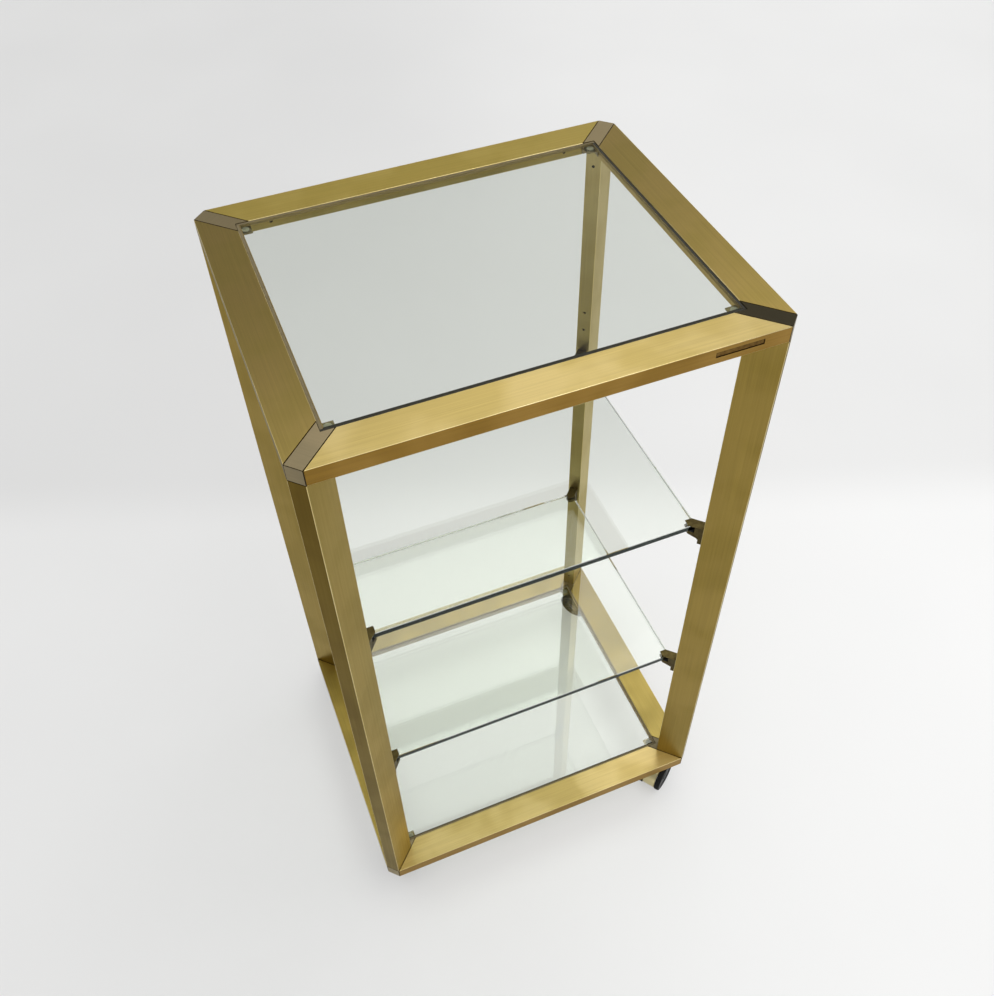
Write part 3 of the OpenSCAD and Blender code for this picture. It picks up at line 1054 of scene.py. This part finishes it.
@dataclass
class CornerPosts:
    """The four flat posts, set on the corners' diagonals."""

    sizes: Framework
    joint_gap: float
    shelf_tops: Sequence[float]
    set_screw_at: float = 21 * MM
    clip_hole: float = -21.77 * MM
    spare_holes: tuple[float, float] = (57.8 * MM, 85.8 * MM)
    bore: float = 1.8 * MM

    def build(self) -> None:
        """Builds the posts."""
        low = self.sizes.lower_z + self.sizes.rail_t + self.joint_gap
        high = self.sizes.upper_z - self.joint_gap
        middle = (low + high) / 2
        clips = [z + self.clip_hole for z in self.shelf_tops]
        spares = [clips[-1] + s for s in self.spare_holes]
        screws = [self.sizes.lower_z + self.sizes.rail_t + self.set_screw_at,
                  self.sizes.upper_z - self.set_screw_at]
        for corner in Corner:
            bar = HollowBar(high - low, self.sizes.post_l, self.sizes.post_t, mitred=False)
            cutters = [bar.hole(z - middle, self.sizes.post_t / 2, self.bore)
                       for z in clips + spares + screws]
            # The rear right post takes painted light and the other three painted shade, each with
            # darker painted shade on its narrow outer face.
            pale = corner is Corner.REAR_RIGHT
            finishes = ((LIT_POST if pale else POST_BRASS).make(), BRASS_ARRIS.make(),
                        (LIT_POST_EDGE if pale else POST_EDGE).make(), SOILED_BRASS.make())
            mesh = worked(finishes, meshed(bar.solid()), cut=cutters)
            node = f"{corner.label}_post"
            lay_grain(mesh, Vector((1.0, 0.0, 0.0)), node)
            upright = Matrix(((0.0, 1.0, 0.0), (0.0, 0.0, 1.0), (1.0, 0.0, 0.0))).to_4x4()
            seated = Matrix.Translation((0.0, -self.sizes.post_t / 2, 0.0)) @ upright
            place = corner.diagonal(self.sizes.corner_x, self.sizes.corner_y, middle) @ seated
            Piece(f"brushed_{node}", mesh, finishes, "frame", "brass", [node]).set_in(place)


@dataclass
class GlassPanes:
    """The four panes, and the strips that fill the gap round those in the frames."""

    sizes: Framework
    arris: float = 0.6 * MM
    strip_drop: float = 0.6 * MM
    play: float = 0.05 * MM

    def build(self) -> None:
        """Builds the panes."""
        edges = {"top_glass": BRASS_REFLECTING_EDGE, "upper_shelf_glass": FLOAT_GLASS,
                 "lower_shelf_glass": FLOAT_GLASS, "bottom_glass": BRASS_REFLECTING_EDGE}
        for node, edge in edges.items():
            low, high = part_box(node)
            pane = box(low, high)
            soften(pane, self.arris, 1)
            for face in pane.faces:
                face.smooth = False
                if abs(face.normal.z) < LEVEL:
                    in_front = face.normal.y < -FACING
                    face.material_index = Zone.OUTER if in_front else Zone.ARRIS
            mesh = meshed(pane)
            # On framed panes the front edge takes painted shade and the other edges a painted
            # reflection of the brass.
            front = SHADED_GLASS_EDGE if edge is BRASS_REFLECTING_EDGE else edge
            finishes = (FLOAT_GLASS.make(), edge.make(), front.make())
            Piece(f"clear_{node}", mesh, finishes, "frame", "glass", [node]).set_in()
            if edge is BRASS_REFLECTING_EDGE:
                self.strips(node, low, high)

    def strips(self, node: str, low: Vector, high: Vector) -> None:
        """Builds a pane's four strips: brown, and painted shade at the top pane's front and right.

        Args:
            node: The pane's name.
            low: Lowest corner of the pane.
            high: Highest corner of the pane.
        """
        reach_x = self.sizes.width / 2 - self.sizes.rail_w - self.play
        reach_y = self.sizes.depth / 2 - self.sizes.rail_w - self.play
        near_x, near_y = high.x + self.play, high.y + self.play
        top = high.z - self.strip_drop
        # The top pane's front and right strips are painted shade in the gap.
        dark = SHADED_SEAL if node == "top_glass" else BROWN_SEAL
        spans = {"front": ((-reach_x, -reach_y), (reach_x, -near_y), dark),
                 "back": ((-reach_x, near_y), (reach_x, reach_y), BROWN_SEAL),
                 "left": ((-reach_x, -near_y), (-near_x, near_y), BROWN_SEAL),
                 "right": ((near_x, -near_y), (reach_x, near_y), dark)}
        for side, (first, last, seal) in spans.items():
            strip = box((*first, low.z + self.strip_drop), (*last, top))
            soften(strip, self.strip_drop / 3, 1)
            Piece(f"{node}_{side}_strip", meshed(strip), (seal.make(), seal.make()), "frame",
                  "rubber", []).set_in()


@dataclass
class ShelfClips:
    """The clips that hold the two middle shelves to the posts."""

    sizes: Framework
    shelf_tops: dict[str, float]
    glass_t: float
    width: float = 12 * MM
    reach: float = 24 * MM
    back: float = 10 * MM
    jaw_t: float = 1.2 * MM
    slot_top: float = 0.3 * MM
    pad_t: float = 1.02 * MM
    lip: float = 2 * MM
    root: float = 8.5 * MM
    foot_t: float = 5 * MM
    foot_h: float = 8.5 * MM
    hole_up: float = 4.25 * MM
    hole_r: float = 1.55 * MM
    seat: float = 0.1 * MM
    arris: float = 0.3 * MM

    def profile(self) -> Outline:
        """Side view of a clip, its X away from the post and its Y up from the glass's top.

        Returns:
            The outline.
        """
        roof = self.slot_top + self.jaw_t
        under = -self.glass_t - self.pad_t
        heel = under - self.root
        return [(0.0, roof), (self.reach, roof), (self.reach, self.slot_top),
                (self.back, self.slot_top), (self.back, under), (self.reach, under),
                (self.reach, under - self.lip), (self.foot_t + MM, heel), (self.foot_t, heel),
                (self.foot_t, heel - self.foot_h), (0.0, heel - self.foot_h)]

    def tip_cutter(self, side: int) -> Mesh:
        """Cutter that gives one half of the jaws' tip its slope, along an edge of the glass.

        Args:
            side: 1 or -1, for the half on that side of the diagonal.

        Returns:
            The cutter, in the clip's own frame.
        """
        half, beyond = self.width / 2 + MM, self.reach + self.width
        flat = [(self.reach, 0.0), (beyond, 0.0), (beyond, side * half),
                (self.reach - half, side * half)]
        return meshed(prism(flat, -2 * self.reach, self.reach))

    def body(self, finishes: Sequence[Material]) -> Mesh:
        """The clip with its square tip and rounded edges, still without its screw hole.

        Args:
            finishes: The clip's finishes.

        Returns:
            The mesh, in the clip's own frame.
        """
        block = meshed(prism(self.profile(), -self.width / 2, self.width / 2),
                       Matrix.Rotation(math.pi / 2, 4, "X"))
        shaped = worked(finishes, block, cut=[self.tip_cutter(1), self.tip_cutter(-1)])
        clip = bmesh.new()
        clip.from_mesh(shaped)
        soften(clip, self.arris, 2)
        return meshed(clip)

    def build(self) -> None:
        """Builds the clips."""
        face_x = self.sizes.corner_x - self.sizes.post_l / ROOT2
        face_y = self.sizes.corner_y - self.sizes.post_l / ROOT2
        foot_low = -self.glass_t - self.pad_t - self.root - self.foot_h
        for level, top in self.shelf_tops.items():
            for corner in Corner:
                drill = turned([(0.0, -MM), (self.hole_r, -MM), (self.hole_r, self.foot_t + MM),
                                (0.0, self.foot_t + MM)], 32)
                bore = meshed(drill, Matrix.Translation((0.0, 0.0, foot_low + self.hole_up))
                              @ Matrix.Rotation(math.pi / 2, 4, "Y"))
                finishes = (BRONZE.make(), BRONZE_ARRIS.make())
                mesh = worked(finishes, self.body(finishes), cut=[bore])
                node = f"{level}_shelf_{corner.label}_clip"
                place = (corner.diagonal(face_x, face_y, top)
                         @ Matrix.Translation((self.seat, 0.0, 0.0)))
                Piece(f"bronze_{node}", mesh, finishes, "frame", "bronze", [node]).set_in(place)


@dataclass
class TwinWheelCaster:
    """One caster: a curved hood with its hub and boss, and a wheel on each side."""

    corner: Corner
    hood_w: float = 19 * MM
    hood_t: float = 2 * MM
    hood_from: float = -60.0
    hood_to: float = 150.0
    hood_gap: float = 1 * MM
    web_t: float = 4 * MM
    hub_wall: float = 3.5 * MM
    wheel_gap: float = 0.4 * MM
    wheel_w: float = 8 * MM
    crown_r: float = 2.3 * MM
    fit: float = 0.05 * MM
    shell_arris: float = 0.5 * MM
    boss_arris: float = 0.6 * MM
    hub_arris: float = 0.3 * MM
    dish: float = 2 * MM
    tread_from: float = 0.86
    relief: tuple[tuple[float, float], ...] = (
        (0.80, 0.0), (0.77, 0.7), (0.70, 0.9), (0.68, 1.3),
        (0.30, 1.5), (0.27, 0.9), (0.20, 0.5), (0.10, 0.3))

    def __post_init__(self) -> None:
        """Reads the caster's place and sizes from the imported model."""
        low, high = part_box(self.node("stem"))
        self.stem_r = (high.x - low.x) / 2
        self.stem_low = low.z
        swivel = (low + high) / 2
        low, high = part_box(self.node("axle"))
        self.axle_r = (high.z - low.z) / 2
        axle = (low + high) / 2
        low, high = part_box(self.node("left_wheel"))
        self.wheel_r = (high.z - low.z) / 2
        away = Vector((axle.x - swivel.x, axle.y - swivel.y, 0.0))
        self.trail = away.length
        away.normalize()
        self.place = Matrix((away, UP.cross(away), UP)).transposed().to_4x4()
        self.place.translation = (swivel.x, swivel.y, 0.0)
        self.boss_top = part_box(self.node("hood"))[1].z

    def node(self, piece: str) -> str:
        """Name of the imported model's node for a piece of this caster."""
        return f"{self.corner.label}_caster_{piece}"

    def across(self, solid: Solid) -> Mesh:
        """A solid made about Z, laid along the axle.

        Args:
            solid: The solid.

        Returns:
            The mesh in the caster's frame.
        """
        return meshed(solid, Matrix.Translation((self.trail, 0.0, self.wheel_r))
                      @ Matrix.Rotation(math.pi / 2, 4, "X"))

    def disc(self, radius: float, width: float, edge: float = 0.0) -> Mesh:
        """A round disc about the axle.

        Args:
            radius: Its radius.
            width: Its width.
            edge: Chamfer of its rims.

        Returns:
            The disc in the caster's frame.
        """
        half = width / 2
        rim = [(radius, -half), (radius, half)]
        if edge:
            rim = [(radius - edge, -half), (radius, edge - half), (radius, half - edge),
                   (radius - edge, half)]
        return self.across(turned([(0.0, -half), *rim, (0.0, half)], 72))

    def shell_outline(self, steps: int = 42) -> Outline:
        """Section of the hood's shell about the axle.

        Args:
            steps: Facets along it.

        Returns:
            The outline.
        """
        outer = self.wheel_r - self.hood_gap
        inner = outer - self.hood_t
        angles = [math.radians(self.hood_from + k * (self.hood_to - self.hood_from) / steps)
                  for k in range(steps + 1)]
        return ([(outer * math.cos(a), outer * math.sin(a)) for a in angles]
                + [(inner * math.cos(a), inner * math.sin(a)) for a in reversed(angles)])

    def hood(self) -> SceneObject:
        """Builds the hood.

        Returns:
            The hood.
        """
        shell = prism(self.shell_outline(), -self.hood_w / 2, self.hood_w / 2)
        soften(shell, self.shell_arris, 3)
        for face in shell.faces:
            face.smooth = abs(face.normal.z) < LEVEL
        boss_r = self.stem_r + self.hub_wall
        boss = turned([(0.0, self.wheel_r), (boss_r, self.wheel_r),
                       (boss_r, self.boss_top - self.boss_arris),
                       (boss_r - self.boss_arris, self.boss_top),
                       (0.0, self.boss_top)], 48)
        stem = turned([(0.0, self.stem_low), (self.stem_r + self.fit, self.stem_low),
                       (self.stem_r + self.fit, self.boss_top + MM),
                       (0.0, self.boss_top + MM)], 48)
        web_r = self.wheel_r - self.hood_gap - self.hood_t / 2
        added = (self.disc(web_r, self.web_t),
                 self.disc(self.axle_r + self.hub_wall, self.hood_w, self.hub_arris),
                 meshed(boss))
        cut = (self.disc(self.axle_r + self.fit, self.hood_w + 2 * MM), meshed(stem))
        finishes = (CASTER_BRASS.make(), CASTER_ARRIS.make())
        mesh = worked(finishes, self.across(shell), added, cut)
        return Piece(f"satin_{self.node('hood')}", mesh, finishes, f"{self.corner.label}_caster",
                     "caster_brass", [self.node("hood")]).set_in(self.place)

    def wheel_profile(self) -> Outline:
        """Section of a wheel, from its inner face at height 0 outward.

        Returns:
            Radius and height of each point.
        """
        bore, rim, width = self.axle_r + self.fit, self.wheel_r, self.wheel_w
        crown = [(rim - self.crown_r * (1 - math.sin(a)), width - self.crown_r * (1 - math.cos(a)))
                 for a in (math.pi / 2, math.pi / 3, math.pi / 6, 0.0)]
        rings = [(share * rim, width - deep * MM) for share, deep in self.relief]
        return [(0.0, width - self.dish), (bore, width - self.dish), (bore, 0.0),
                (rim - 0.8 * MM, 0.0), (rim - 0.2 * MM, 0.6 * MM), (rim, 1.5 * MM), *crown, *rings,
                (0.0, width - 0.25 * MM)]

    def wheel(self, hand: str, side: int) -> SceneObject:
        """Builds one wheel.

        Args:
            hand: The wheel's name in its node.
            side: 1 for the left-hand wheel and -1 for the right-hand one.

        Returns:
            The wheel.
        """
        node = self.node(f"{hand}_wheel")
        solid = turned(self.wheel_profile(), 96)
        for face in solid.faces:
            middle = face.calc_center_median()
            on_tread = math.hypot(middle.x, middle.y) > self.tread_from * self.wheel_r
            face.material_index = Zone.ARRIS if on_tread else Zone.FACE
        place = (Matrix.Translation((self.trail, side * (self.hood_w / 2 + self.wheel_gap),
                                     self.wheel_r))
                 @ Matrix.Rotation(-side * math.pi / 2, 4, "X"))
        mesh = meshed(solid, place)
        return Piece(f"black_{node}", mesh, (WHEEL_BLACK.make(), TREAD_BLACK.make()), node,
                     "wheel", [node]).set_in(self.place)

    def build(self) -> None:
        """Builds the hood and the two wheels."""
        self.hood()
        self.wheel("left", 1)
        self.wheel("right", -1)


@dataclass
class SmallHardware:
    """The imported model's own small pieces, given their finishes."""

    finishes: Sequence[tuple[Finish, tuple[str, ...]]] = (
        (TAB_BRASS, ("glass_tabs",)),
        (BUMPER, ("glass_bumpers",)),
        (BLACK_STEEL, ("tab_screws", "rail_set_screws", "post_set_screws",
                       "shelf_clip_screws")),
        (RUBBER, ("shelf_clip_pads",)),
        (STEEL, ("caster_sleeves",)),
    )

    def dress(self, nodes: dict[str, SceneObject]) -> None:
        """Gives each piece its finish.

        Args:
            nodes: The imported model's objects by name.
        """
        pairs = [(finish, name) for finish, names in self.finishes for name in names]
        pairs += [(STEEL, f"{corner.label}_caster_{piece}")
                  for corner in Corner for piece in ("stem", "axle")]
        for finish, name in pairs:
            mesh = nodes[name].data
            mesh.materials.clear()
            mesh.materials.append(finish.make())
            log.info("%s: %s", name, finish.name)


# ---- Studio --------------------------------------------------------------------------------------


@dataclass(frozen=True)
class PhotoCamera:
    """The camera that took the photograph, worked out from the trolley's straight edges."""

    at: Colour = (-0.2780, -0.7648, 1.4988)
    azimuth: float = -20.868
    elevation: float = 48.826
    roll: float = -1.553
    focal_pixels: float = 1008.8
    image_side: float = 996.0
    sensor: float = 36.0
    clip: tuple[float, float] = (0.05, 60.0)

    def place(self) -> None:
        """Makes the camera and gives it to the scene."""
        azimuth, elevation = math.radians(self.azimuth), math.radians(self.elevation)
        back = Vector((math.sin(azimuth) * math.cos(elevation),
                       -math.cos(azimuth) * math.cos(elevation), math.sin(elevation)))
        right = (-back).cross(UP).normalized()
        over = right.cross(-back)
        roll = math.radians(self.roll)
        right, over = (math.cos(roll) * right + math.sin(roll) * over,
                       math.cos(roll) * over - math.sin(roll) * right)
        data = bpy.data.cameras.new("photo_camera")
        data.sensor_width = self.sensor
        data.lens = self.focal_pixels * self.sensor / self.image_side
        data.clip_start, data.clip_end = self.clip
        camera = linked("photo_camera", data)
        pose = Matrix((right, over, back)).transposed().to_4x4()
        pose.translation = self.at
        camera.matrix_world = pose
        bpy.context.scene.camera = camera


@dataclass(frozen=True)
class Studio:
    """The pale floor and the soft light."""

    floor_side: float = 16.0
    lamp_side: float = 1.5
    lamp_at: Colour = (0.55, 0.15, 2.6)
    lamp_aim: Colour = (0.0, 0.0, 0.5)
    lamp_power: float = 2.0
    heading: float = math.radians(20.98)
    floor_glow: float = 0.5
    wall_light: float = 0.80
    low_light: float = 0.16
    high_light: float = 2.2
    middle_share: float = 0.45
    rightward: float = 0.65

    def floor(self) -> None:
        """Lays the floor, which isn't part of the trolley."""
        half = self.floor_side / 2
        sheet = bmesh.new()
        sheet.faces.new([sheet.verts.new((x, y, 0.0))
                         for x, y in ((-half, -half), (half, -half), (half, half), (-half, half))])
        mesh = meshed(sheet)
        paper = bpy.data.materials.new("paper_floor")
        wiring = Wiring(paper)
        place = wiring.place()
        turned_place = wiring.add("Mapping", {"Vector": place,
                                              "Rotation": (0.0, 0.0, self.heading)}).outputs[0]
        axes = wiring.add("SeparateXYZ", {0: turned_place}).outputs
        # Painted light and shade on the floor: lighter towards the right, darker behind the trolley.
        behind = wiring.spread(axes["Y"], 0.42, 0.58, 0.0, 1.0, smooth=True)
        right = wiring.spread(axes["X"], -0.6, 0.7, 0.0, 1.0, smooth=True)
        front = wiring.blend(right, shade(226, 226, 226), shade(243, 243, 243))
        rear = wiring.blend(right, shade(218, 218, 218), shade(233, 233, 233))
        cloudy = wiring.spread(wiring.noise(place, 1.6, 2.0), 0.3, 0.7, 0.985, 1.015)
        colour = wiring.blend(1.0, wiring.blend(behind, front, rear), wiring.grey(cloudy),
                              "MULTIPLY")
        matt = wiring.add("BsdfPrincipled", {
            "Base Color": colour, "Roughness": 0.85, "Specular IOR Level": 0.1})
        shown = wiring.add("Emission", {"Color": colour, "Strength": 1.0})
        path = wiring.add("LightPath").outputs
        seen = wiring.sum(wiring.sum(path["Is Camera Ray"], path["Is Glossy Ray"], "MAXIMUM"),
                          path["Is Transmission Ray"], "MAXIMUM")
        share = wiring.sum(seen, self.floor_glow, "MULTIPLY")
        wiring.finish(wiring.add("MixShader", {0: share, 1: matt.outputs[0],
                                               2: shown.outputs[0]}))
        mesh.materials.append(paper)
        floor = linked("paper_floor", mesh)

    def room(self) -> None:
        """Lights the trolley from all round, more from above and from the right."""
        world = bpy.data.worlds.new("soft_room")
        bpy.context.scene.world = world
        wiring = Wiring(world)
        axes = wiring.add("SeparateXYZ",
                          {0: wiring.add("TexCoord").outputs["Generated"]}).outputs
        level = wiring.spread(axes["Z"], 0.18, 0.42, self.wall_light, self.low_light, smooth=True)
        ceiling = wiring.spread(axes["Z"], 0.68, 0.82, 0.0, self.high_light, smooth=True)
        middle = wiring.spread(axes["Z"], 0.88, 1.0, 1.0, self.middle_share, smooth=True)
        level = wiring.sum(level, wiring.sum(ceiling, middle, "MULTIPLY"))
        aside = wiring.sum(math.e, wiring.sum(axes["X"], self.rightward, "MULTIPLY"), "POWER")
        light = wiring.add("Background", {"Color": (1.0, 1.0, 0.99, 1.0),
                                          "Strength": wiring.sum(level, aside, "MULTIPLY")})
        wiring.add("OutputWorld", {"Surface": light.outputs[0]})

    def lamp(self) -> None:
        """Hangs the wide soft lamp over the trolley."""
        data = bpy.data.lights.new("soft_lamp", "AREA")
        data.shape = "SQUARE"
        data.size = self.lamp_side
        data.energy = self.lamp_power
        lamp = linked("soft_lamp", data)
        at = Vector(self.lamp_at)
        lamp.rotation_euler = (at - Vector(self.lamp_aim)).to_track_quat("Z", "Y").to_euler()
        lamp.location = at

    def set_up(self) -> None:
        """Sets up floor, light and the plain view of colours."""
        self.floor()
        self.room()
        self.lamp()
        bpy.context.scene.view_settings.view_transform = "Standard"


def main() -> None:
    """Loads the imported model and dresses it, one sub-assembly after the other."""
    logging.basicConfig(level=logging.INFO, format="%(message)s")
    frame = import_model()
    PhotoCamera().place()

    sizes = Framework.read(JOINT_GAP)
    shelf_tops = {level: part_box(f"{level}_shelf_glass")[1].z for level in ("lower", "upper")}
    glass_low, glass_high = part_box("top_glass")

    for level, z in (("lower", sizes.lower_z), ("upper", sizes.upper_z)):
        MitredFrame(level, z, sizes, JOINT_GAP, spigot_up=level == "lower").build()
    CornerPosts(sizes, JOINT_GAP, list(shelf_tops.values())).build()
    GlassPanes(sizes).build()
    ShelfClips(sizes, shelf_tops, glass_high.z - glass_low.z).build()
    for corner in Corner:
        TwinWheelCaster(corner).build()
    SmallHardware().dress(frame["nodes"])
    Studio().set_up()


if __name__ == "__main__":
    main()
